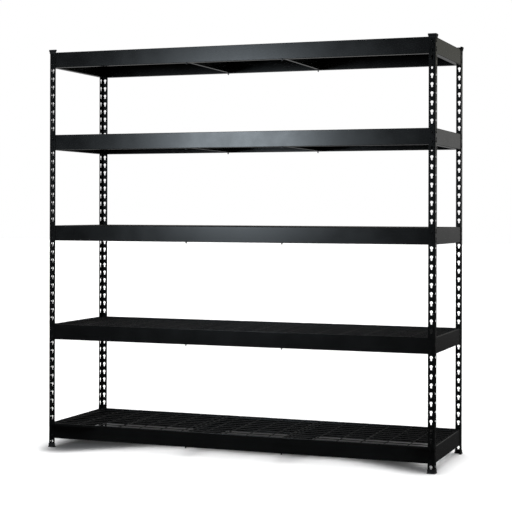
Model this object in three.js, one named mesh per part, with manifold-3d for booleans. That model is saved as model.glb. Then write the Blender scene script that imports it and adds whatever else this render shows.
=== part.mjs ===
// Boltless steel shelving: four slotted angle posts carry five levels, and each level is four hooked
// beams, two tie bars and three drop-in wire decks. Beams are held by rivets in keyholes, without bolts.
// Millimetres, +X to the right, +Y to the back, +Z up. The origin is on the floor under the middle.
import * as THREE from 'three';
import { mergeVertices } from 'three/addons/utils/BufferGeometryUtils.js';
import Module from 'manifold-3d';

const wasm = await Module();
wasm.setup();

// ---------------------------------------------------------------- driving dimensions
const UNIT_WIDTH = 1821; // over the outer corners of the posts, left to right
const UNIT_DEPTH = 532; // over the outer corners of the posts, front to back
const GAP = 0.3; // clearance between pieces that touch
const JOINT_GAP = 1; // clearance around a drop-in deck

const PITCH = 38.1; // keyhole to keyhole, up the post
const HOLES = 48; // keyholes in each leg of a post
const POST_LEG = 30; // width of each leg of the angle
const POST_SHEET = 1.8; // thickness of the angle
const HOLE_INSET = 15.7; // outer corner of the post to the keyhole column
const HOLE_WIDE = 6.5; // half width of a keyhole's round top
const HOLE_NARROW = 3.7; // half width of its slot
const HOLE_ABOVE = 9.6; // top of a keyhole above the middle of its pitch
const HOLE_BELOW = 11.3; // bottom of its slot below that middle

const SOLE = 5.5; // plastic under the end of the post
const FOOT_HEIGHT = 18;
const FLARE = 0.8; // how far the sole of a foot and the top of a cap stand out beyond their walls
const SOLE_FLARE_HEIGHT = 6;
const CAP_FLARE_HEIGHT = 5;
const PLASTIC_WALL = 2.2; // walls of feet and caps
const CAP_TOP = 3.7; // plastic over the end of the post
const CAP_SKIRT = 14; // how far a cap reaches down the outside of the post
const CAP_LIP = 3; // how far it reaches down the inside, above the top beams

const BEAM_HEIGHT = 69.85;
const BEAM_SHEET = 1.5;
const HEM = 5.5; // width of the folded top edge
const LEDGE_DROP = 9; // top edge down to the ledge that carries the decks
const LEDGE_REACH = 22; // outer face to the inner edge of the ledge
const LEDGE_LIP = 7; // downturned edge of the ledge
const BOTTOM_LIP = 25; // width of the bottom flange
const BEAM_OVER_HOLE = 10.35; // top of the beam above the middle of its upper keyhole
const LEVEL_HOLES = [1, 13, 25, 36, 46]; // lower keyhole that each level hangs in, lowest level first

const RIVET_NECK = 3.1; // radius
const RIVET_HEAD = 5.5; // radius
const RIVET_HEAD_HEIGHT = 2;
const RIVET_SIDES = 6;

const TIE_X = 227; // each tie bar from the middle of the unit
const TIE_SHEET = 1.5;
const TIE_FLANGE = 14;
const TAB_WIDTH = 10; // hooks of the tie bar, through the bottom flange of the beam
const TAB_BELOW = 5; // how far a hook shows below the beam
const TAB_INSET = 13; // outer face of the beam to the middle of the hook
const TAB_CLEAR = 0.6; // clearance around a hook in its slot

const DECK_HEIGHT = 8; // two layers of wire
const DECK_BAR = 4;
const DECK_ROWS = 3; // openings of the mesh, front to back
const SIDE_DECK_COLUMNS = 4;
const MIDDLE_DECK_COLUMNS = 3;

// ---------------------------------------------------------------- sizes that follow from them
const POST_LENGTH = PITCH * HOLES;
const POST_BOTTOM = SOLE + GAP;
const POST_TOP = POST_BOTTOM + POST_LENGTH;
const BEAM_SET_BACK = POST_SHEET + GAP; // outer face of the post to the outer face of the beam
const RIVET_DROP = HOLE_BELOW - GAP - RIVET_NECK; // middle of a pitch down to the resting rivet
const holeMiddle = (index) => POST_BOTTOM + PITCH * (index + 0.5);

const STEEL = { color: 0x17181a, roughness: 0.42, metalness: 0.35 };
const WIRE = { color: 0x141517, roughness: 0.4, metalness: 0.35 };
const PLASTIC = { color: 0x0e0e0f, roughness: 0.6, metalness: 0 };

// ---------------------------------------------------------------- solids
// Axes that a shape drawn in the XY plane and extruded along Z is turned to.
const AXIS_X = new THREE.Vector3(1, 0, 0);
const AXIS_Y = new THREE.Vector3(0, 1, 0);
const AXIS_Z = new THREE.Vector3(0, 0, 1);
const TO_FRONT_PLANE = [AXIS_X, AXIS_Z, AXIS_Y.clone().negate()];
const TO_SIDE_PLANE = [AXIS_Y, AXIS_Z, AXIS_X];

function solidOf(geometry) {
  const bare = geometry.clone();
  bare.deleteAttribute('normal');
  bare.deleteAttribute('uv');
  const merged = mergeVertices(bare, 1e-4);
  return new wasm.Manifold(new wasm.Mesh({
    numProp: 3,
    vertProperties: new Float32Array(merged.attributes.position.array),
    triVerts: new Uint32Array(merged.index.array),
  }));
}

function geometryOf(solid) {
  const mesh = solid.getMesh();
  const geometry = new THREE.BufferGeometry();
  geometry.setAttribute('position', new THREE.BufferAttribute(mesh.vertProperties, 3));
  geometry.setIndex(new THREE.BufferAttribute(mesh.triVerts, 1));
  return geometry;
}

function outline(points) {
  return new THREE.Shape(points.map(([x, y]) => new THREE.Vector2(x, y)));
}

function extruded(shape, depth) {
  return new THREE.ExtrudeGeometry(shape, { depth, bevelEnabled: false, steps: 1 });
}

function turnedTo(basis, geometry) {
  return geometry.applyMatrix4(new THREE.Matrix4().makeBasis(...basis));
}

// A box from its lowest corner to its highest.
function block([x0, y0, z0], [x1, y1, z1]) {
  const box = new THREE.BoxGeometry(x1 - x0, y1 - y0, z1 - z0);
  return solidOf(box.translate((x0 + x1) / 2, (y0 + y1) / 2, (z0 + z1) / 2));
}

// The plan of an angle whose outer corner is at the origin and whose legs point along +X and +Y:
// it starts `out` beyond the outer faces, is `thick` deep from them, and its legs end at `reach`.
function angleBlock(out, thick, reach, z0, z1) {
  const plan = outline([
    [-out, -out],
    [reach, -out],
    [reach, thick],
    [thick, thick],
    [thick, reach],
    [-out, reach],
  ]);
  return solidOf(extruded(plan, z1 - z0).translate(0, 0, z0));
}

// ---------------------------------------------------------------- post, cap and foot
function postLeg() {
  const leg = outline([[0, 0], [POST_LEG, 0], [POST_LEG, POST_LENGTH], [0, POST_LENGTH]]);
  for (let i = 0; i < HOLES; i += 1) {
    const middle = PITCH * (i + 0.5);
    const keyhole = [
      new THREE.Vector2(HOLE_INSET - HOLE_NARROW, middle - HOLE_BELOW),
      new THREE.Vector2(HOLE_INSET - HOLE_WIDE, middle + HOLE_ABOVE),
      new THREE.Vector2(HOLE_INSET + HOLE_WIDE, middle + HOLE_ABOVE),
      new THREE.Vector2(HOLE_INSET + HOLE_NARROW, middle - HOLE_BELOW),
    ];
    leg.holes.push(new THREE.Path(keyhole));
  }
  return extruded(leg, POST_SHEET);
}

function post() {
  const frontLeg = turnedTo(TO_FRONT_PLANE, postLeg()).translate(0, POST_SHEET, POST_BOTTOM);
  const sideLeg = turnedTo(TO_SIDE_PLANE, postLeg()).translate(0, 0, POST_BOTTOM);
  return solidOf(frontLeg).add(solidOf(sideLeg));
}

// The slot that takes the end of the post, with clearance all round.
function postSlot(z0, z1) {
  return angleBlock(GAP, POST_SHEET + GAP, POST_LEG + GAP, z0, z1);
}

const WALL_OUT = GAP + PLASTIC_WALL;
const WALL_IN = POST_SHEET + GAP + PLASTIC_WALL;

// Walls around the end of a post, standing `out` further out than their usual thickness.
function postWalls(out, z0, z1) {
  return angleBlock(WALL_OUT + out, WALL_IN + out, POST_LEG + WALL_OUT + out, z0, z1);
}

function foot() {
  const shell = postWalls(0, 0, FOOT_HEIGHT).add(postWalls(FLARE, 0, SOLE_FLARE_HEIGHT));
  return shell.subtract(postSlot(SOLE, FOOT_HEIGHT + 1));
}

function cap() {
  const bottom = POST_TOP - CAP_SKIRT;
  const top = POST_TOP + GAP + CAP_TOP;
  const shell = postWalls(0, bottom, top).add(postWalls(FLARE, top - CAP_FLARE_HEIGHT, top));
  const insideSkirt = -POST_SHEET / 2;
  const beyondWalls = POST_LEG + WALL_OUT + 1;
  const beamRoom = angleBlock(insideSkirt, WALL_IN + 1, beyondWalls, bottom - 1, POST_TOP - CAP_LIP);
  return shell.subtract(postSlot(bottom - 1, POST_TOP + GAP)).subtract(beamRoom);
}

// ---------------------------------------------------------------- beams
// A beam runs along X with its outer face at Y = 0, its inside towards +Y and its top edge at Z = 0.
const BEAM_SECTION = [
  [0, 0],
  [0, -BEAM_HEIGHT],
  [BOTTOM_LIP, -BEAM_HEIGHT],
  [BOTTOM_LIP, BEAM_SHEET - BEAM_HEIGHT],
  [BEAM_SHEET, BEAM_SHEET - BEAM_HEIGHT],
  [BEAM_SHEET, -BEAM_SHEET],
  [HEM - BEAM_SHEET, -BEAM_SHEET],
  [HEM - BEAM_SHEET, -LEDGE_DROP - BEAM_SHEET],
  [LEDGE_REACH - BEAM_SHEET, -LEDGE_DROP - BEAM_SHEET],
  [LEDGE_REACH - BEAM_SHEET, -LEDGE_DROP - LEDGE_LIP],
  [LEDGE_REACH, -LEDGE_DROP - LEDGE_LIP],
  [LEDGE_REACH, -LEDGE_DROP],
  [HEM, -LEDGE_DROP],
  [HEM, 0],
];

// The folded sheet, mitred at both ends so that the four beams of a level meet like a picture frame.
function beamSheet(span) {
  const geometry = turnedTo(TO_SIDE_PLANE, extruded(outline(BEAM_SECTION), 1));
  const half = span / 2 - BEAM_SET_BACK - GAP;
  const position = geometry.attributes.position;
  for (let i = 0; i < position.count; i += 1) {
    const side = position.getX(i) < 0.5 ? -1 : 1;
    position.setX(i, side * (half - position.getY(i)));
  }
  return solidOf(geometry);
}

// A rivet is fixed in the beam and stands out through the post, with its head in front of the keyhole.
function rivet() {
  const underHead = -(GAP + POST_SHEET + GAP);
  const profile = [
    new THREE.Vector2(0, underHead - RIVET_HEAD_HEIGHT),
    new THREE.Vector2(RIVET_HEAD, underHead - RIVET_HEAD_HEIGHT),
    new THREE.Vector2(RIVET_HEAD, underHead),
    new THREE.Vector2(RIVET_NECK, underHead),
    new THREE.Vector2(RIVET_NECK, BEAM_SHEET / 2),
    new THREE.Vector2(0, BEAM_SHEET / 2),
  ];
  return solidOf(new THREE.LatheGeometry(profile, RIVET_SIDES));
}

function beam(span) {
  let solid = beamSheet(span);
  const upperRivet = -BEAM_OVER_HOLE - RIVET_DROP;
  for (const side of [-1, 1]) {
    for (const height of [upperRivet, upperRivet - PITCH]) {
      solid = solid.add(rivet().translate([side * (span / 2 - HOLE_INSET), 0, height]));
    }
  }
  return solid;
}

// Front and rear beams also have a slot in the bottom flange for each tie bar.
function longBeam() {
  let solid = beam(UNIT_WIDTH);
  const reach = TAB_WIDTH / 2 + TAB_CLEAR;
  for (const x of [-TIE_X, TIE_X]) {
    const low = [x - TIE_SHEET / 2 - TAB_CLEAR, TAB_INSET - reach, -BEAM_HEIGHT - 1];
    const high = [x + TIE_SHEET / 2 + TAB_CLEAR, TAB_INSET + reach, -BEAM_HEIGHT + BEAM_SHEET + 1];
    solid = solid.subtract(block(low, high));
  }
  return solid;
}

// ---------------------------------------------------------------- tie bar
// A channel from the front beam to the rear beam, centred on the origin, with Z = 0 at the top of the
// beams. It carries the ends of the decks, rests on the bottom flanges and hooks into their slots.
function tieBar() {
  const bottom = BEAM_SHEET - BEAM_HEIGHT + GAP;
  const top = -LEDGE_DROP - GAP;
  const shoulder = -LEDGE_DROP - LEDGE_LIP - JOINT_GAP;
  const beamFace = UNIT_DEPTH / 2 - BEAM_SET_BACK;
  const end = beamFace - BEAM_SHEET - GAP;
  const neck = beamFace - LEDGE_REACH - JOINT_GAP;
  const tabOut = beamFace - TAB_INSET + TAB_WIDTH / 2;
  const tabIn = tabOut - TAB_WIDTH;
  const tabEnd = -BEAM_HEIGHT - TAB_BELOW;
  const half = [
    [neck, top],
    [neck, shoulder],
    [end, shoulder],
    [end, bottom],
    [tabOut, bottom],
    [tabOut, tabEnd],
    [tabIn, tabEnd],
    [tabIn, bottom],
  ];
  const mirrored = half.map(([y, z]) => [-y, z]).reverse();
  const web = turnedTo(TO_SIDE_PLANE, extruded(outline([...mirrored, ...half].reverse()), TIE_SHEET));
  const solid = solidOf(web.translate(-TIE_SHEET / 2, 0, 0));
  const right = TIE_FLANGE - TIE_SHEET / 2;
  const topFlange = block([0, -neck, top - TIE_SHEET], [right, neck, top]);
  const bottomFlange = block([0, -end, bottom], [right, end, bottom + TIE_SHEET]);
  return solid.add(topFlange).add(bottomFlange);
}

// ---------------------------------------------------------------- wire deck
// A flat mesh with its lower left front corner at the origin: a sheet with its openings cut through.
function deck(width, depth, columns, rows) {
  const stepX = (width - DECK_BAR) / columns;
  const stepY = (depth - DECK_BAR) / rows;
  let mesh = block([0, 0, 0], [width, depth, DECK_HEIGHT]);
  for (let column = 0; column < columns; column += 1) {
    for (let row = 0; row < rows; row += 1) {
      const low = [column * stepX + DECK_BAR, row * stepY + DECK_BAR, -1];
      const high = [(column + 1) * stepX, (row + 1) * stepY, DECK_HEIGHT + 1];
      mesh = mesh.subtract(block(low, high));
    }
  }
  return mesh;
}

// ---------------------------------------------------------------- assembly
const shelving = new THREE.Group();
const QUARTER = Math.PI / 2;

function place(name, geometry, look, [x, y, z], quarterTurns = 0) {
  const mesh = new THREE.Mesh(geometry, new THREE.MeshStandardMaterial(look));
  mesh.name = name;
  mesh.position.set(x, y, z);
  mesh.rotation.z = quarterTurns * QUARTER;
  shelving.add(mesh);
}

// Corners in order, each a quarter turn on from the one before.
const CORNERS = [
  ['front_left', -1, -1],
  ['front_right', 1, -1],
  ['rear_right', 1, 1],
  ['rear_left', -1, 1],
];
const postShape = geometryOf(post());
const footShape = geometryOf(foot());
const capShape = geometryOf(cap());
CORNERS.forEach(([corner, sideX, sideY], turn) => {
  const at = [sideX * UNIT_WIDTH / 2, sideY * UNIT_DEPTH / 2, 0];
  place(`post_${corner}`, postShape, STEEL, at, turn);
  place(`foot_${corner}`, footShape, PLASTIC, at, turn);
  place(`cap_${corner}`, capShape, PLASTIC, at, turn);
});

const longBeamShape = geometryOf(longBeam());
const sideBeamShape = geometryOf(beam(UNIT_DEPTH));
const tieBarShape = geometryOf(tieBar());

const faceX = UNIT_WIDTH / 2 - BEAM_SET_BACK;
const faceY = UNIT_DEPTH / 2 - BEAM_SET_BACK;
const deckEndX = faceX - HEM - JOINT_GAP;
const deckEndY = faceY - HEM - JOINT_GAP;
const deckDepth = 2 * deckEndY;
const sideDeckWidth = deckEndX - TIE_X - JOINT_GAP / 2;
const middleDeckWidth = 2 * TIE_X - JOINT_GAP;
const sideDeckShape = geometryOf(deck(sideDeckWidth, deckDepth, SIDE_DECK_COLUMNS, DECK_ROWS));
const middleDeckShape = geometryOf(deck(middleDeckWidth, deckDepth, MIDDLE_DECK_COLUMNS, DECK_ROWS));

LEVEL_HOLES.forEach((lowerHole, index) => {
  const level = `level_${index + 1}`;
  const top = holeMiddle(lowerHole + 1) + BEAM_OVER_HOLE;
  place(`${level}_front_beam`, longBeamShape, STEEL, [0, -faceY, top], 0);
  place(`${level}_right_beam`, sideBeamShape, STEEL, [faceX, 0, top], 1);
  place(`${level}_rear_beam`, longBeamShape, STEEL, [0, faceY, top], 2);
  place(`${level}_left_beam`, sideBeamShape, STEEL, [-faceX, 0, top], 3);
  place(`${level}_left_tie_bar`, tieBarShape, STEEL, [-TIE_X, 0, top]);
  place(`${level}_right_tie_bar`, tieBarShape, STEEL, [TIE_X, 0, top]);
  const deckBottom = top - LEDGE_DROP + GAP;
  place(`${level}_left_deck`, sideDeckShape, WIRE, [-deckEndX, -deckEndY, deckBottom]);
  place(`${level}_middle_deck`, middleDeckShape, WIRE, [-TIE_X + JOINT_GAP / 2, -deckEndY, deckBottom]);
  place(`${level}_right_deck`, sideDeckShape, WIRE, [TIE_X + JOINT_GAP / 2, -deckEndY, deckBottom]);
});

export default shelving;
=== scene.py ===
"""Boltless steel shelving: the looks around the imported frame. Metres, +X right, +Y back, +Z up."""
import math

import bmesh
import bpy
from mathutils import Matrix, Vector
from mathutils.geometry import delaunay_2d_cdt


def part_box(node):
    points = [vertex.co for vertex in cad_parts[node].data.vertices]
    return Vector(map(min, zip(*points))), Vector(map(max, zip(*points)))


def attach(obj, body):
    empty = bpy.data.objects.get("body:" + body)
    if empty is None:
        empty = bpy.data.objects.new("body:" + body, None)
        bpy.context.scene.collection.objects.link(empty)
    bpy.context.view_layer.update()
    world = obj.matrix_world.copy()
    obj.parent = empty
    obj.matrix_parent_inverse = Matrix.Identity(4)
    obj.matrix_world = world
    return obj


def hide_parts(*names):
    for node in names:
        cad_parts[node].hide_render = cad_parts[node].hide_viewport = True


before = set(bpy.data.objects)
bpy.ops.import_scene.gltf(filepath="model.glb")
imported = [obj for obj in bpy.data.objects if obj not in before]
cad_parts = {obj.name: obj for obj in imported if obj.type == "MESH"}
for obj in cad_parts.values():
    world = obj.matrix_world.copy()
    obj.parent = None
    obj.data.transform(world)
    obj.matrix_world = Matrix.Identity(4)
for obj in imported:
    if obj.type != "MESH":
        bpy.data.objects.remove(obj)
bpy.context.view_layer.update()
MM = 0.001

# ---------------------------------------------------------------- camera
camera_data = bpy.data.cameras.new("camera")
camera = bpy.data.objects.new("camera", camera_data)
bpy.context.scene.collection.objects.link(camera)
camera.location = (2.242, -5.915, 1.0938)
camera.rotation_euler = (math.radians(90), math.radians(-0.16), math.radians(20.66))
camera_data.sensor_width = 36
camera_data.lens = 97.10
camera_data.shift_y = -0.0873
camera_data.clip_end = 200
bpy.context.scene.camera = camera

# ---------------------------------------------------------------- sizes in millimetres
# The posts' places and sizes are read from the frame, and the others repeat what its solids have.
POST_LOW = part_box("post_front_left")[0]
POST_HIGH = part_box("post_rear_right")[1]
WIDTH = round((POST_HIGH.x - POST_LOW.x) / MM, 1)
DEPTH = round((POST_HIGH.y - POST_LOW.y) / MM, 1)
POST_BOTTOM = round(POST_LOW.z / MM, 1)
POST_TOP = round(POST_HIGH.z / MM, 1)
GAP = 0.3
HOLES = 48
PITCH = (POST_TOP - POST_BOTTOM) / HOLES
LEG, SHEET = 30.0, 1.8
HOLE_INSET = 15.7
BEAM_HEIGHT, BEAM_SHEET = 69.85, 1.5
SET_BACK = SHEET + GAP            # outer face of the post to the outer face of the beam
TIE_X = 227.0
LEVELS = (1, 2, 3, 4, 5)
CORNERS = (("front_left", -1, -1), ("front_right", 1, -1), ("rear_right", 1, 1), ("rear_left", -1, 1))


# ---------------------------------------------------------------- mesh helpers
WELD = 0.005                      # points nearer than this are one point
SHARP = 32                        # degrees: gentler bends than this shade smooth


def mesh_from(name, verts, faces, sharp=SHARP):
    """A mesh from points in millimetres, welded, with its normals outward and its flat faces flat."""
    bm = bmesh.new()
    made = [bm.verts.new(Vector(v) * MM) for v in verts]
    for face in faces:
        bm.faces.new([made[i] for i in face])
    bmesh.ops.remove_doubles(bm, verts=bm.verts, dist=WELD * MM)
    bmesh.ops.recalc_face_normals(bm, faces=bm.faces)
    mesh = bpy.data.meshes.new(name)
    bm.to_mesh(mesh)
    bm.free()
    return finished(mesh, sharp)


def finished(mesh, sharp):
    """The mesh smooth at its bends and sharp at its edges, with its large faces shaded truly flat."""
    mesh.shade_smooth()
    mesh.set_sharp_from_angle(angle=math.radians(sharp))
    return modified(mesh, "WEIGHTED_NORMAL", weight=95, keep_sharp=True)


def modified(mesh, kind, **settings):
    """What a modifier with these settings makes of the mesh."""
    work = bpy.data.objects.new("work", mesh)
    bpy.context.scene.collection.objects.link(work)
    modifier = work.modifiers.new("work", kind)
    for key, value in settings.items():
        setattr(modifier, key, value)
    bpy.context.view_layer.update()
    result = bpy.data.meshes.new_from_object(work.evaluated_get(bpy.context.evaluated_depsgraph_get()))
    result.name = mesh.name
    bpy.data.objects.remove(work)
    return result


class Parts:
    """Points and faces collected from several shells."""

    def __init__(self):
        self.verts = []
        self.faces = []

    def add(self, verts, faces):
        start = len(self.verts)
        self.verts.extend(verts)
        self.faces.extend([[start + i for i in face] for face in faces])

    def tube(self, stations, closed_ends=True):
        """Quads between loops with the same number of points, and an n-gon over each end."""
        count = len(stations[0])
        verts = [p for loop in stations for p in loop]
        faces = []
        for s in range(len(stations) - 1):
            for i in range(count):
                j = (i + 1) % count
                faces.append([s * count + i, s * count + j, (s + 1) * count + j, (s + 1) * count + i])
        if closed_ends:
            faces.append(list(range(count)))
            faces.append([(len(stations) - 1) * count + i for i in range(count)])
        self.add(verts, faces)

    def mesh(self, name, sharp=SHARP):
        return mesh_from(name, self.verts, self.faces, sharp)


def filleted(points, radii, steps=3):
    """A closed outline with each corner rounded by its own radius."""
    out = []
    count = len(points)
    for i in range(count):
        here = Vector(points[i])
        before = (Vector(points[i - 1]) - here).normalized()
        after = (Vector(points[(i + 1) % count]) - here).normalized()
        radius = radii[i]
        half = before.angle(after) / 2
        reach = radius / math.tan(half)
        centre = here + (before + after).normalized() * (radius / math.sin(half))
        start = here + before * reach - centre
        end = here + after * reach - centre
        a0 = math.atan2(start.y, start.x)
        turn = math.atan2(end.y, end.x) - a0
        turn = (turn + math.pi) % (2 * math.pi) - math.pi
        for k in range(steps + 1):
            a = a0 + turn * k / steps
            out.append((centre.x + radius * math.cos(a), centre.y + radius * math.sin(a)))
    return out


def full_turn(sides):
    """The angles of a circle with this many sides."""
    return [2 * math.pi * k / sides for k in range(sides)]


def boxed(name, low, high):
    (x0, y0, z0), (x1, y1, z1) = low, high
    verts = [(x, y, z) for z in (z0, z1) for x, y in ((x0, y0), (x1, y0), (x1, y1), (x0, y1))]
    faces = [(3, 2, 1, 0), (4, 5, 6, 7), (0, 1, 5, 4), (1, 2, 6, 5), (2, 3, 7, 6), (3, 0, 4, 7)]
    return mesh_from(name, verts, faces)


def combined(mesh, other, operation, sharp=SHARP):
    """mesh with another mesh cut away from it or joined to it."""
    tool = bpy.data.objects.new("tool", other)
    bpy.context.scene.collection.objects.link(tool)
    result = modified(mesh, "BOOLEAN", operation=operation, solver="EXACT", object=tool)
    bpy.data.objects.remove(tool)
    return finished(result, sharp)


# ---------------------------------------------------------------- post
BEND = 2.6                        # outer radius of the post's corner
EDGE = 0.3                        # softened edge of sheet and holes
TOP_RADIUS, TOP_CENTRE = 6.3, 3.4
SLOT_HALF, SLOT_CENTRE = 3.4, -7.9
TOP_STEPS, SLOT_STEPS = 16, 8     # sides of the keyhole's two arcs


def keyhole(grow):
    """The keyhole's outline about the middle of its pitch, `grow` larger all round."""
    top = TOP_RADIUS + grow
    slot = SLOT_HALF + grow
    meet = math.atan2(-math.sqrt(top * top - slot * slot), slot)
    points = []
    for k in range(TOP_STEPS + 1):
        a = meet + (math.pi - 2 * meet) * k / TOP_STEPS
        points.append((top * math.cos(a), TOP_CENTRE + top * math.sin(a)))
    for k in range(SLOT_STEPS + 1):
        a = math.pi + math.pi * k / SLOT_STEPS
        points.append((slot * math.cos(a), SLOT_CENTRE + slot * math.sin(a)))
    return points


def inside(outline, verts, face):
    """Whether the middle of a triangle is inside an outline."""
    x = sum(verts[i][0] for i in face) / len(face)
    y = sum(verts[i][1] for i in face) / len(face)
    odd = False
    for (x0, y0), (x1, y1) in zip(outline, outline[1:] + outline[:1]):
        if (y0 > y) != (y1 > y) and x < (x1 - x0) * (y - y0) / (y1 - y0) + x0:
            odd = not odd
    return odd


def holed_cell():
    """One pitch of the leg's flat as triangles around the keyhole: points (u, z from the middle)."""
    low, high, half = BEND, LEG - EDGE, PITCH / 2
    corners = [(low, -half), (high, -half), (high, half), (low, half)]
    hole = [(HOLE_INSET + x, z) for x, z in keyhole(EDGE)]
    points = [Vector(p) for p in corners + hole]
    n = len(hole)
    edges = [(i, (i + 1) % 4) for i in range(4)] + [(4 + i, 4 + (i + 1) % n) for i in range(n)]
    verts, _, faces, _, _, _ = delaunay_2d_cdt(points, edges, [], 1, 1e-5)
    kept = [f for f in faces if not all(i >= 4 for i in f) or not inside(hole, verts, f)]
    return [tuple(v) for v in verts], [list(f) for f in kept]


def post_plan():
    """The angle's section, anticlockwise from the end of its front leg."""
    arc = [math.radians(a) for a in (270, 252, 234, 216, 198, 180)]
    outer = [(BEND + BEND * math.cos(a), BEND + BEND * math.sin(a)) for a in arc]
    bend_in = BEND - SHEET
    inner = [(BEND + bend_in * math.cos(a), BEND + bend_in * math.sin(a)) for a in reversed(arc)]
    tip = LEG - EDGE
    ends_side = [(0, tip), (EDGE, LEG), (SHEET - EDGE, LEG), (SHEET, tip)]
    ends_front = [(tip, SHEET), (LEG, SHEET - EDGE), (LEG, EDGE), (tip, 0)]
    return outer + ends_side + inner + ends_front


def post_mesh():
    """The angle with its keyholes: holed cells for the flats of the legs, and walls for the rest."""
    parts = Parts()
    cell_verts, cell_faces = holed_cell()
    rings = [(keyhole(EDGE), 0), (keyhole(0), EDGE), (keyhole(0), SHEET - EDGE), (keyhole(EDGE), SHEET)]
    legs = (lambda u, n, z: (u, n, z), lambda u, n, z: (n, u, z))
    for at in legs:
        for index in range(HOLES):
            middle = POST_BOTTOM + PITCH * (index + 0.5)
            for n in (0, SHEET):
                parts.add([at(u, n, middle + z) for u, z in cell_verts], cell_faces)
            loops = [[at(HOLE_INSET + x, n, middle + z) for x, z in ring] for ring, n in rings]
            parts.tube(loops, closed_ends=False)
    plan = post_plan()
    count = len(plan)
    verts = [(x, y, POST_BOTTOM + PITCH * i) for i in range(HOLES + 1) for x, y in plan]
    faces = []
    for s in range(HOLES):
        for i in range(count):
            j = (i + 1) % count
            if abs(plan[i][0] - plan[j][0]) + abs(plan[i][1] - plan[j][1]) < LEG - 2 * BEND:
                faces.append([s * count + i, s * count + j, (s + 1) * count + j, (s + 1) * count + i])
    faces.append(list(range(count)))
    faces.append([HOLES * count + i for i in range(count)])
    parts.add(verts, faces)
    return parts.mesh("post")


# ---------------------------------------------------------------- moulded foot and cap
WALL_CORNER, SOCKET_CORNER = 2.0, 1.2
EDGE_RADIUS, INNER_RADIUS = 0.9, 0.8
MOULD_SHARP = 28
SKIRT = 18.0                      # height of the foot, and of the cap
MOUTH = 0.6                       # the socket opens this far from the post, and narrows to the gap
ROOF = 3.7                        # plastic above the post
CAP_TOP = POST_TOP + GAP + ROOF
# On the inside of the angle the cap is cut off below the post's top by a box, from where it starts,
# from how deep, and to how far past the cap.
ROOM_START, ROOM_DEPTH, ROOM_LOW, ROOM_END = 1.0, 3, 20, 40
FOOT_SLOPE, CAP_SLOPE = 0.5, 0.4  # height of the slope inside the mouth
# How far the outside stands out from the post's faces: by the height over the floor on the foot,
# and by the depth under its top on the cap.
FOOT_WALL = (
    (2.9, 0), (3.3, 0.4), (3.3, 1.6), (3.0, 2.8), (2.3, 4.6),
    (1.8, 6.6), (1.5, 9.0), (1.4, 17.3), (1.1, SKIRT),
)
CAP_WALL = (
    (2.8, 0), (3.3, 0.5), (3.3, 5.6), (3.1, 7.2), (2.4, 9.2),
    (1.8, 11.0), (1.5, 12.8), (1.4, 17.4), (1.1, SKIRT),
)


def angle_loop(out, z, corner):
    """The post's section as a rounded outline that lies `out` beyond its faces."""
    thick, reach = SHEET + out, LEG + out
    points = [(-out, -out), (reach, -out), (reach, thick), (thick, thick), (thick, reach), (-out, reach)]
    radii = [corner, EDGE_RADIUS, EDGE_RADIUS, INNER_RADIUS, EDGE_RADIUS, EDGE_RADIUS]
    return [(x, y, z) for x, y in filleted(points, radii)]


def moulding(name, wall, mouth, throat, bottom):
    """The outside along its wall, then in at the socket's mouth and through its throat to its bottom."""
    socket = ((MOUTH, mouth), (GAP, throat), (GAP, bottom))
    parts = Parts()
    parts.tube([angle_loop(out, z, WALL_CORNER) for out, z in wall]
               + [angle_loop(out, z, SOCKET_CORNER) for out, z in socket])
    return parts.mesh(name, MOULD_SHARP)


def foot_mesh():
    """The foot, with its socket open upwards and its sole on the floor."""
    return moulding("foot", FOOT_WALL, SKIRT, SKIRT - FOOT_SLOPE, POST_BOTTOM - GAP)


def cap_mesh():
    """The cap, with its inner walls cut short so that only the outside hangs down over the post."""
    wall = [(out, CAP_TOP - drop) for out, drop in CAP_WALL]
    cap = moulding("cap", wall, CAP_TOP - SKIRT, CAP_TOP - SKIRT + CAP_SLOPE, POST_TOP + GAP)
    low = (ROOM_START, ROOM_START, POST_TOP - ROOM_LOW)
    room = boxed("room", low, (ROOM_END, ROOM_END, POST_TOP - ROOM_DEPTH))
    return combined(cap, room, "DIFFERENCE", MOULD_SHARP)


# ---------------------------------------------------------------- beams
FOLD_OUT, FOLD_IN, CUT = 2.0, 0.5, 0.3      # radii outside and inside a fold, and of a cut edge
HEM = 5.5                         # width of the fold along the top edge
LEDGE, LEDGE_REACH, LIP = -9, 22, -16       # the deck's ledge, its inner end and its lip's lower edge
FLANGE = 25                       # depth of the flange along the bottom
FLANGE_TOP = BEAM_SHEET - BEAM_HEIGHT
ON_FLANGE = -60                   # only the bottom flange lies lower than this
# Section of the folded sheet: u inward from the outer face, z down from the top edge, and its bend.
BEAM_SECTION = (
    (0, 0, FOLD_OUT), (0, -BEAM_HEIGHT, FOLD_OUT), (FLANGE, -BEAM_HEIGHT, CUT),
    (FLANGE, FLANGE_TOP, CUT), (BEAM_SHEET, FLANGE_TOP, FOLD_IN), (BEAM_SHEET, -BEAM_SHEET, FOLD_IN),
    (HEM - BEAM_SHEET, -BEAM_SHEET, FOLD_IN), (HEM - BEAM_SHEET, LEDGE - BEAM_SHEET, FOLD_OUT),
    (LEDGE_REACH - BEAM_SHEET, LEDGE - BEAM_SHEET, FOLD_IN), (LEDGE_REACH - BEAM_SHEET, LIP, CUT),
    (LEDGE_REACH, LIP, CUT), (LEDGE_REACH, LEDGE, FOLD_OUT), (HEM, LEDGE, FOLD_IN), (HEM, 0, FOLD_OUT),
)
SLOT_U = (7.4, 18.6)              # the tie bar's hook passes through this part of the bottom flange
SLOT_HALF_WIDTH = 1.35
RIVET_DROPS = (18.25, 56.35)      # rivets below the top edge of the beam
RIVET_SIDES = 24
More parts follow.
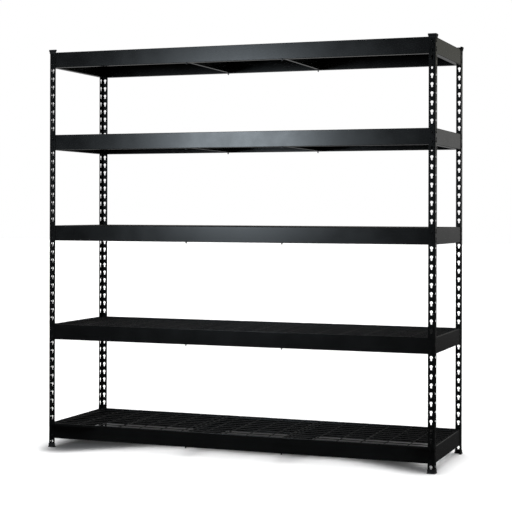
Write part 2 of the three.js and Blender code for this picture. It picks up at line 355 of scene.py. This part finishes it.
# Radius and place through the sheet: domed head in front, neck in the keyhole, low head inside.
RIVET_PROFILE = (
    (0, -4.4), (2.2, -4.25), (3.9, -3.75), (5.0, -3.1), (5.5, -2.6), (5.4, -2.4), (3.1, -2.4),
    (3.1, 1.5), (4.2, 1.6), (4.0, 2.1), (2.4, 2.6), (0, 2.75),
)


def beam_outline():
    """The section with its bends rounded, and points at the slot's edges on the bottom flange."""
    points = [(u, z) for u, z, _ in BEAM_SECTION]
    rounded = filleted(points, [r for _, _, r in BEAM_SECTION])
    out = []
    for here, after in zip(rounded, rounded[1:] + rounded[:1]):
        out.append(here)
        flat = abs(here[1] - after[1]) < 0.001 and here[1] < ON_FLANGE
        if flat and abs(here[0] - after[0]) > SLOT_U[1] - SLOT_U[0]:
            cuts = SLOT_U if after[0] > here[0] else tuple(reversed(SLOT_U))
            out.extend((u, here[1]) for u in cuts)
    return out


def rivet(parts, x, z):
    """A rivet through the post, with its axis through (x, z)."""
    loops = []
    for radius, n in RIVET_PROFILE[1:-1]:
        loops.append([(x + radius * math.cos(a), n, z + radius * math.sin(a))
                      for a in full_turn(RIVET_SIDES)])
    parts.tube(loops, closed_ends=False)
    for loop, n in ((loops[0], RIVET_PROFILE[0][1]), (loops[-1], RIVET_PROFILE[-1][1])):
        fan = [(k, (k + 1) % RIVET_SIDES, RIVET_SIDES) for k in range(RIVET_SIDES)]
        parts.add(loop + [(x, n, z)], fan)


def add_slot_walls(parts, x):
    """The four walls of a tie bar's slot, through the bottom flange."""
    x0, x1 = x - SLOT_HALF_WIDTH, x + SLOT_HALF_WIDTH
    ring = [(x0, SLOT_U[0]), (x1, SLOT_U[0]), (x1, SLOT_U[1]), (x0, SLOT_U[1])]
    parts.tube([[(a, b, z) for a, b in ring] for z in (-BEAM_HEIGHT, FLANGE_TOP)], closed_ends=False)


def beam_mesh(name, span, slotted):
    """A beam with mitred ends and four rivets, and with two slots for tie bars in a long one."""
    outline = beam_outline()
    half = span / 2 - SET_BACK - GAP
    slots = (-TIE_X, TIE_X) if slotted else ()
    left_end, right_end = [[(side * (half - u), u, z) for u, z in outline] for side in (-1, 1)]
    loops = [left_end]
    for x in slots:
        loops += [[(x + side * SLOT_HALF_WIDTH, u, z) for u, z in outline] for side in (-1, 1)]
    loops.append(right_end)
    count = len(outline)
    faces = [list(range(count)), [(len(loops) - 1) * count + i for i in range(count)]]
    in_slot = []
    for i in range(count):
        run = abs(outline[i][0] - outline[(i + 1) % count][0])
        in_slot.append(abs(run - (SLOT_U[1] - SLOT_U[0])) < 0.01 and outline[i][1] < ON_FLANGE)
    for s in range(len(loops) - 1):
        for i in range(count):
            j = (i + 1) % count
            if s % 2 == 1 and in_slot[i]:
                continue
            faces.append([s * count + i, s * count + j, (s + 1) * count + j, (s + 1) * count + i])
    parts = Parts()
    parts.add([p for loop in loops for p in loop], faces)
    for x in slots:
        add_slot_walls(parts, x)
    for side in (-1, 1):
        for drop in RIVET_DROPS:
            rivet(parts, side * (span / 2 - HOLE_INSET), -drop)
    return parts.mesh(name)


# ---------------------------------------------------------------- tie bar
TIE_SHEET = 1.5
TIE_LEFT, TIE_MID, TIE_RIGHT = -0.75, 0.75, 13.25      # the web's two faces and the ends of the flanges
TIE_TOP, TIE_BOTTOM = -9.3, FLANGE_TOP + GAP
TIE_FOLD_OUT, TIE_FOLD_IN, TIE_EDGE = 1.9, 0.5, 0.3
TIE_SECTION = (
    (TIE_LEFT, TIE_BOTTOM, TIE_FOLD_OUT), (TIE_RIGHT, TIE_BOTTOM, TIE_EDGE),
    (TIE_RIGHT, TIE_BOTTOM + TIE_SHEET, TIE_EDGE), (TIE_MID, TIE_BOTTOM + TIE_SHEET, TIE_FOLD_IN),
    (TIE_MID, TIE_TOP - TIE_SHEET, TIE_FOLD_IN), (TIE_RIGHT, TIE_TOP - TIE_SHEET, TIE_EDGE),
    (TIE_RIGHT, TIE_TOP, TIE_EDGE), (TIE_LEFT, TIE_TOP, TIE_FOLD_OUT),
)
NOTCH = 23                        # the ends are notched this far in from the beam's outer face
NOTCH_X, NOTCH_Z, NOTCH_PAST = (-5, 20), -17, 5       # the notch is cut right across, and past the end
END_FLANGE_LOW, END_FLANGE_TOP = TIE_BOTTOM + 0.4, -17.4
END_FLANGE, END_FLANGE_ROOT = 9, 7          # its free end, and how far along the web it starts
HOOK_HALF, HOOK_X = 5, 1.3        # half of its width and of its thickness
HOOK_TOP, HOOK_REACH = -60, 7     # its upper end inside the web, and how far it reaches below the beam
HOOK_CORNER, ROOT_CORNER = 1.4, 0.2         # the second where a hook or flange runs into the web


def end_flange(side, end):
    """The flange folded across the end of the web, under the ledge."""
    root, inner = end - END_FLANGE_ROOT, end - TIE_SHEET
    points = [(TIE_LEFT, root), (TIE_MID, root), (TIE_MID, inner), (END_FLANGE, inner),
              (END_FLANGE, end), (TIE_LEFT, end)]
    plan = filleted(points, [ROOT_CORNER, ROOT_CORNER, TIE_FOLD_IN, TIE_EDGE, TIE_EDGE, TIE_FOLD_OUT])
    parts = Parts()
    parts.tube([[(x, side * y, z) for x, y in plan] for z in (END_FLANGE_LOW, END_FLANGE_TOP)])
    return parts.mesh("flange")


def hook(middle):
    """The tab that drops through the slot in the beam's bottom flange."""
    low = -BEAM_HEIGHT - HOOK_REACH
    points = [(middle - HOOK_HALF, HOOK_TOP), (middle - HOOK_HALF, low),
              (middle + HOOK_HALF, low), (middle + HOOK_HALF, HOOK_TOP)]
    outline = filleted(points, [ROOT_CORNER, HOOK_CORNER, HOOK_CORNER, ROOT_CORNER])
    parts = Parts()
    parts.tube([[(x, y, z) for y, z in outline] for x in (-HOOK_X, HOOK_X)])
    return parts.mesh("tab")


def tie_mesh():
    """The channel, notched at both ends under the ledges, with end flanges and hooks for the slots."""
    face = DEPTH / 2 - SET_BACK
    end, neck = face - (BEAM_SHEET + GAP), face - NOTCH
    outline = filleted([(x, z) for x, z, _ in TIE_SECTION], [r for _, _, r in TIE_SECTION])
    parts = Parts()
    parts.tube([[(x, y, z) for x, z in outline] for y in (-end, end)])
    mesh = parts.mesh("tie_bar")
    for side in (-1, 1):
        near, far = sorted((side * neck, side * (end + NOTCH_PAST)))
        notch = boxed("notch", (NOTCH_X[0], near, NOTCH_Z), (NOTCH_X[1], far, 0))
        mesh = combined(mesh, notch, "DIFFERENCE")
        mesh = combined(mesh, end_flange(side, end), "UNION")
        mesh = combined(mesh, hook(side * (face - sum(SLOT_U) / 2)), "UNION")
    return mesh


# ---------------------------------------------------------------- wire decks
WIRE = 2.0                        # radius
LONG_Z = -2.7                     # middle of the wires that run left to right
CROSS_Z = -6.65                   # middle of the wires that run front to back, welded under them
CROSS_PITCH = 104.5
CROSS_PLACES = 20                 # places for cross wires along the whole unit
DECK_GAP = 6.5                    # the beam's outer face to the edge of the deck
DECK_END_X = WIDTH / 2 - SET_BACK - DECK_GAP
DECK_END_Y = DEPTH / 2 - SET_BACK - DECK_GAP
LONG_WIRES = 11
STIFF = 3.0                       # radius of the stiffening wire
STIFF_Z = CROSS_Z - (STIFF - WIRE)
STIFF_END_Y = 238.0
STIFF_SIDE, STIFF_MIDDLE = 575.0, 52.25
STIFF_CLEAR = 10                  # no cross wire nearer the stiffening wire than this
SEAM = 0.5                        # half of the gap between two decks
WIRE_SIDES = 12
WIRE_SHARP = 50
SOFT_END = 0.35                   # part of its radius that a wire's end is softened by
COLUMN_CLEAR = 4 * WIRE           # but for the end wires, no cross wire nearer a deck's end than this


def wire(parts, start, end, radius=WIRE):
    """A straight wire with softened ends."""
    start, end = Vector(start), Vector(end)
    along = (end - start).normalized()
    side = along.cross(Vector((0, 0, 1)))
    up = side.cross(along)
    soft = radius * SOFT_END
    rings = ((start, radius - soft), (start + along * soft, radius), (end - along * soft, radius),
             (end, radius - soft))
    loops = []
    for centre, r in rings:
        loops.append([tuple(centre + side * (r * math.cos(a)) + up * (r * math.sin(a)))
                      for a in full_turn(WIRE_SIDES)])
    parts.tube(loops)


def deck_mesh(name, x0, x1, stiff_x):
    """A welded mesh from x0 to x1, at its place along X, with Z = 0 at the top of the beams."""
    parts = Parts()
    for k in range(LONG_WIRES):
        y = -DECK_END_Y + WIRE + (2 * DECK_END_Y - 2 * WIRE) * k / (LONG_WIRES - 1)
        wire(parts, (x0, y, LONG_Z), (x1, y, LONG_Z))
    columns = [x0 + WIRE, x1 - WIRE]
    for k in range(CROSS_PLACES):
        column = (k - (CROSS_PLACES - 1) / 2) * CROSS_PITCH
        if x0 + COLUMN_CLEAR < column < x1 - COLUMN_CLEAR and abs(column - stiff_x) > STIFF_CLEAR:
            columns.append(column)
    for x in columns:
        wire(parts, (x, -DECK_END_Y, CROSS_Z), (x, DECK_END_Y, CROSS_Z))
    wire(parts, (stiff_x, -STIFF_END_Y, STIFF_Z), (stiff_x, STIFF_END_Y, STIFF_Z), STIFF)
    return parts.mesh(name, WIRE_SHARP)


# ---------------------------------------------------------------- materials
def nodes_of(material):
    material.use_nodes = True
    tree = material.node_tree
    return tree, tree.nodes["Principled BSDF"]


def linked(tree, kind, inputs=None, **settings):
    """A node with its settings, and its inputs joined to sockets or set to values."""
    node = tree.nodes.new(kind)
    for key, value in settings.items():
        setattr(node, key, value)
    for key, value in (inputs or {}).items():
        if isinstance(value, bpy.types.NodeSocket):
            tree.links.new(value, node.inputs[key])
        else:
            node.inputs[key].default_value = value
    return node


def ramp(tree, factor, stops):
    node = linked(tree, "ShaderNodeValToRGB", {"Fac": factor})
    elements = node.color_ramp.elements
    while len(elements) < len(stops):
        elements.new(0.5)
    for element, (place, colour) in zip(elements, stops):
        element.position = place
        element.color = (*colour, 1)
    return node.outputs["Color"]


def spread(tree, factor, low, high, start=0.3, end=0.7):
    """The factor from start to end mapped to low to high, and held beyond them."""
    node = linked(tree, "ShaderNodeMapRange", {
        "Value": factor, "From Min": start, "From Max": end, "To Min": low, "To Max": high})
    return node.outputs["Result"]


def coated_steel(name, dark, light, roughness, peel=0.05):
    """Powder coat: near black, satin, with orange peel and faint cloudiness in tone and gloss."""
    material = bpy.data.materials.new(name)
    tree, shader = nodes_of(material)
    place = linked(tree, "ShaderNodeTexCoord").outputs["Object"]
    cloud = linked(tree, "ShaderNodeTexNoise", {"Vector": place, "Scale": 9.0, "Detail": 4.0,
                                                "Roughness": 0.55}).outputs["Fac"]
    grain = linked(tree, "ShaderNodeTexNoise", {"Vector": place, "Scale": 900.0, "Detail": 2.0,
                                                "Roughness": 0.5}).outputs["Fac"]
    orange = linked(tree, "ShaderNodeTexVoronoi", {"Vector": place, "Scale": 520.0},
                    feature="SMOOTH_F1").outputs["Distance"]
    tree.links.new(ramp(tree, cloud, ((0.3, dark), (0.7, light))), shader.inputs["Base Color"])
    tree.links.new(spread(tree, cloud, roughness - 0.02, roughness + 0.03), shader.inputs["Roughness"])
    height = linked(tree, "ShaderNodeMath", {0: grain, 1: orange}, operation="ADD").outputs[0]
    bump = linked(tree, "ShaderNodeBump", {"Height": height, "Strength": peel, "Distance": 0.00012})
    tree.links.new(bump.outputs["Normal"], shader.inputs["Normal"])
    shader.inputs["IOR"].default_value = 1.5
    return material


def moulded_plastic():
    """Black plastic, duller than the steel, with a fine moulded grain."""
    material = bpy.data.materials.new("moulded_plastic")
    tree, shader = nodes_of(material)
    place = linked(tree, "ShaderNodeTexCoord").outputs["Object"]
    cloud = linked(tree, "ShaderNodeTexNoise",
                   {"Vector": place, "Scale": 40.0, "Detail": 3.0}).outputs["Fac"]
    grain = linked(tree, "ShaderNodeTexVoronoi", {"Vector": place, "Scale": 1400.0}).outputs["Distance"]
    tree.links.new(ramp(tree, cloud, ((0.3, (0.006, 0.006, 0.006)), (0.7, (0.010, 0.010, 0.0105)))),
                   shader.inputs["Base Color"])
    tree.links.new(spread(tree, cloud, 0.46, 0.56), shader.inputs["Roughness"])
    bump = linked(tree, "ShaderNodeBump", {"Height": grain, "Strength": 0.35, "Distance": 0.0001})
    tree.links.new(bump.outputs["Normal"], shader.inputs["Normal"])
    return material


STEEL = coated_steel("powder_coat", (0.0032, 0.0036, 0.0036), (0.0046, 0.0051, 0.0051), 0.210, 0.03)
WIRE_COAT = coated_steel("wire_coat", (0.004, 0.004, 0.004), (0.006, 0.006, 0.006), 0.33)
PLASTIC = moulded_plastic()


# ---------------------------------------------------------------- assembly
def piece(node, mesh, material, body, location, quarter_turns=0):
    """One detailed piece for one CAD node, placed as the frame has it."""
    if not mesh.materials:
        mesh.materials.append(material)
    obj = bpy.data.objects.new(f"{node}_detail", mesh)
    bpy.context.scene.collection.objects.link(obj)
    turned = Matrix.Rotation(quarter_turns * math.pi / 2, 4, "Z")
    obj.matrix_world = Matrix.Translation(Vector(location)) @ turned
    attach(obj, body)
    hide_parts(node)
    return obj


post, foot, cap = post_mesh(), foot_mesh(), cap_mesh()
for turn, (corner, side_x, side_y) in enumerate(CORNERS):
    at = (side_x * WIDTH / 2 * MM, side_y * DEPTH / 2 * MM, 0)
    piece(f"post_{corner}", post, STEEL, "frame", at, turn)
    piece(f"foot_{corner}", foot, PLASTIC, "frame", at, turn)
    piece(f"cap_{corner}", cap, PLASTIC, "frame", at, turn)

long_beam = beam_mesh("long_beam", WIDTH, True)
short_beam = beam_mesh("short_beam", DEPTH, False)
tie_bar = tie_mesh()
FACE_X = (WIDTH / 2 - SET_BACK) * MM
FACE_Y = (DEPTH / 2 - SET_BACK) * MM
left_deck = deck_mesh("left_deck", -DECK_END_X, -TIE_X - SEAM, -STIFF_SIDE)
right_deck = deck_mesh("right_deck", TIE_X + SEAM, DECK_END_X, STIFF_SIDE)
middle_decks = [deck_mesh(f"middle_deck_{i}", -TIE_X + SEAM, TIE_X - SEAM, side * STIFF_MIDDLE)
                for i, side in enumerate((-1, 1))]

for number in LEVELS:
    level = f"level_{number}"
    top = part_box(f"{level}_front_beam")[1].z
    front = piece(f"{level}_front_beam", long_beam, STEEL, level, (0, -FACE_Y, top), 0)
    front.visible_diffuse = False     # the floor in front stays white, as under a large overhead light
    piece(f"{level}_right_beam", short_beam, STEEL, level, (FACE_X, 0, top), 1)
    piece(f"{level}_rear_beam", long_beam, STEEL, level, (0, FACE_Y, top), 2)
    piece(f"{level}_left_beam", short_beam, STEEL, level, (-FACE_X, 0, top), 3)
    piece(f"{level}_left_tie_bar", tie_bar, STEEL, level, (-TIE_X * MM, 0, top))
    piece(f"{level}_right_tie_bar", tie_bar, STEEL, level, (TIE_X * MM, 0, top))
    decks = (("left", left_deck), ("middle", middle_decks[(number + 1) % 2]), ("right", right_deck))
    for side, mesh in decks:
        piece(f"{level}_{side}_deck", mesh, WIRE_COAT, f"{level}_{side}_deck_panel", (0, 0, top))

# ---------------------------------------------------------------- floor and its shade
FLOOR_REACH = 40
FLAG_HEIGHT = 0.10
FLAG_ALPHA = 0.96                 # a little light passes the card
FLAG_OUTLINE = (
    (-1.12, 0.60), (-1.00, 0.10), (-0.93, -0.30), (-0.89, -0.375), (-0.81, -0.40),
    (-0.70, -0.30), (-0.60, -0.215), (-0.47, -0.11), (-0.34, -0.07), (-0.02, -0.11),
    (0.26, -0.115), (0.40, -0.085), (0.55, -0.13), (0.855, -0.306), (0.95, -0.275),
    (0.80, -0.02), (0.84, 0.16), (0.76, 0.56),
)


def flat_sheet(name, outline, z, grey):
    """A flat matt sheet of one grey, and its shader."""
    mesh = bpy.data.meshes.new(name)
    mesh.from_pydata([(x, y, z) for x, y in outline], [], [tuple(range(len(outline)))])
    look = bpy.data.materials.new(name)
    _, shader = nodes_of(look)
    shader.inputs["Base Color"].default_value = (grey, grey, grey, 1)
    shader.inputs["Specular IOR Level"].default_value = 0
    mesh.materials.append(look)
    sheet = bpy.data.objects.new(name, mesh)
    bpy.context.scene.collection.objects.link(sheet)
    sheet.visible_glossy = False
    return sheet, shader


def studio_floor():
    """A pale matt floor that neither mirrors in the steel nor lights it."""
    reach = FLOOR_REACH
    outline = ((-reach, -reach), (reach, -reach), (reach, reach), (-reach, reach))
    floor, shader = flat_sheet("floor", outline, 0, 0.9)
    shader.inputs["Roughness"].default_value = 1
    floor.visible_diffuse = False


def shadow_flag():
    """A dark card low under the first level, unseen itself, that keeps light off the floor there."""
    flag, shader = flat_sheet("shadow_flag", FLAG_OUTLINE, FLAG_HEIGHT, 0)
    shader.inputs["Alpha"].default_value = FLAG_ALPHA
    flag.visible_camera = False


# ---------------------------------------------------------------- studio light
FLOOR_LIGHT = 4.6                 # strength of the light on matt surfaces from straight overhead
FLOOR_LIGHT_POWER = 4.0           # and how fast it falls away towards the horizon
SEEN_WHITE = 1.0
# Brightness of the studio in reflections by the height of the direction: behind right, and behind left.
RIGHT_BACK = (
    (-0.156, (0.042, 0.042, 0.042)), (-0.087, (0.05, 0.05, 0.05)), (-0.017, (0.22, 0.22, 0.22)),
    (0.052, (0.40, 0.40, 0.395)), (0.113, (0.24, 0.24, 0.21)), (0.5, (0.3, 0.3, 0.3)),
)
LEFT_BACK = (
    (-0.3, (0.35, 0.35, 0.35)), (-0.113, (0.28, 0.28, 0.28)), (-0.03, (0.18, 0.18, 0.18)),
    (0.09, (0.12, 0.12, 0.12)), (0.157, (0.17, 0.17, 0.17)), (0.5, (0.3, 0.3, 0.3)),
)
RAMP_LOW, RAMP_HIGH = -0.4, 0.6


def by_height(tree, height, stops):
    """A colour from stops at heights between RAMP_LOW and RAMP_HIGH."""
    place = spread(tree, height, 0, 1, RAMP_LOW, RAMP_HIGH)
    return ramp(tree, place, [((z - RAMP_LOW) / (RAMP_HIGH - RAMP_LOW), colour) for z, colour in stops])


def studio_world():
    """Plain white to the eye, lit from overhead for matt surfaces, and a dim studio in reflections."""
    world = bpy.data.worlds.new("studio")
    bpy.context.scene.world = world
    world.use_nodes = True
    world.cycles.sampling_method = "NONE"
    tree = world.node_tree
    tree.nodes.clear()
    direction = linked(tree, "ShaderNodeTexCoord").outputs["Generated"]
    split = linked(tree, "ShaderNodeSeparateXYZ", {"Vector": direction}).outputs
    right = by_height(tree, split["Z"], RIGHT_BACK)
    left = by_height(tree, split["Z"], LEFT_BACK)
    to_right = spread(tree, split["X"], 0, 1, -0.1, 0.1)
    behind = linked(tree, "ShaderNodeMix", {0: to_right, 6: left, 7: right}, data_type="RGBA").outputs[2]
    strength = spread(tree, split["Y"], 0.10, 1.0, -0.1, 0.4)
    reflected = linked(tree, "ShaderNodeBackground", {"Color": behind, "Strength": strength})
    up = spread(tree, split["Z"], 0, 1, 0, 1)
    steep = linked(tree, "ShaderNodeMath", {0: up, 1: FLOOR_LIGHT_POWER}, operation="POWER").outputs[0]
    overhead = linked(tree, "ShaderNodeMath", {0: steep, 1: FLOOR_LIGHT}, operation="MULTIPLY").outputs[0]
    lit = linked(tree, "ShaderNodeBackground", {"Color": (1, 1, 1, 1), "Strength": overhead})
    plain = linked(tree, "ShaderNodeBackground", {"Color": (1, 1, 1, 1), "Strength": SEEN_WHITE})
    path = linked(tree, "ShaderNodeLightPath").outputs
    matt = linked(tree, "ShaderNodeMixShader", {
        0: path["Is Diffuse Ray"], 1: plain.outputs[0], 2: lit.outputs[0]})
    mixed = linked(tree, "ShaderNodeMixShader", {
        0: path["Is Glossy Ray"], 1: matt.outputs[0], 2: reflected.outputs[0]})
    linked(tree, "ShaderNodeOutputWorld", {"Surface": mixed.outputs[0]})


def lamp(name, location, target, size, watts, colour):
    """An oval lamp that faces its target, and that the camera doesn't see."""
    data = bpy.data.lights.new(name, "AREA")
    data.shape = "ELLIPSE"
    data.size, data.size_y = size
    data.energy = watts
    data.color = colour
    obj = bpy.data.objects.new(name, data)
    bpy.context.scene.collection.objects.link(obj)
    obj.location = location
    obj.rotation_euler = (Vector(target) - Vector(location)).to_track_quat("-Z", "Y").to_euler()
    obj.visible_camera = False


studio_floor()
shadow_flag()
studio_world()
lamp("front_softbox", (-2.196, -6.0, 1.705), (0, 0, 1.3), (1.12, 1.32), 50.0, (0.81, 0.915, 1.0))

scene = bpy.context.scene
scene.view_settings.view_transform = "Standard"
scene.view_settings.look = "None"
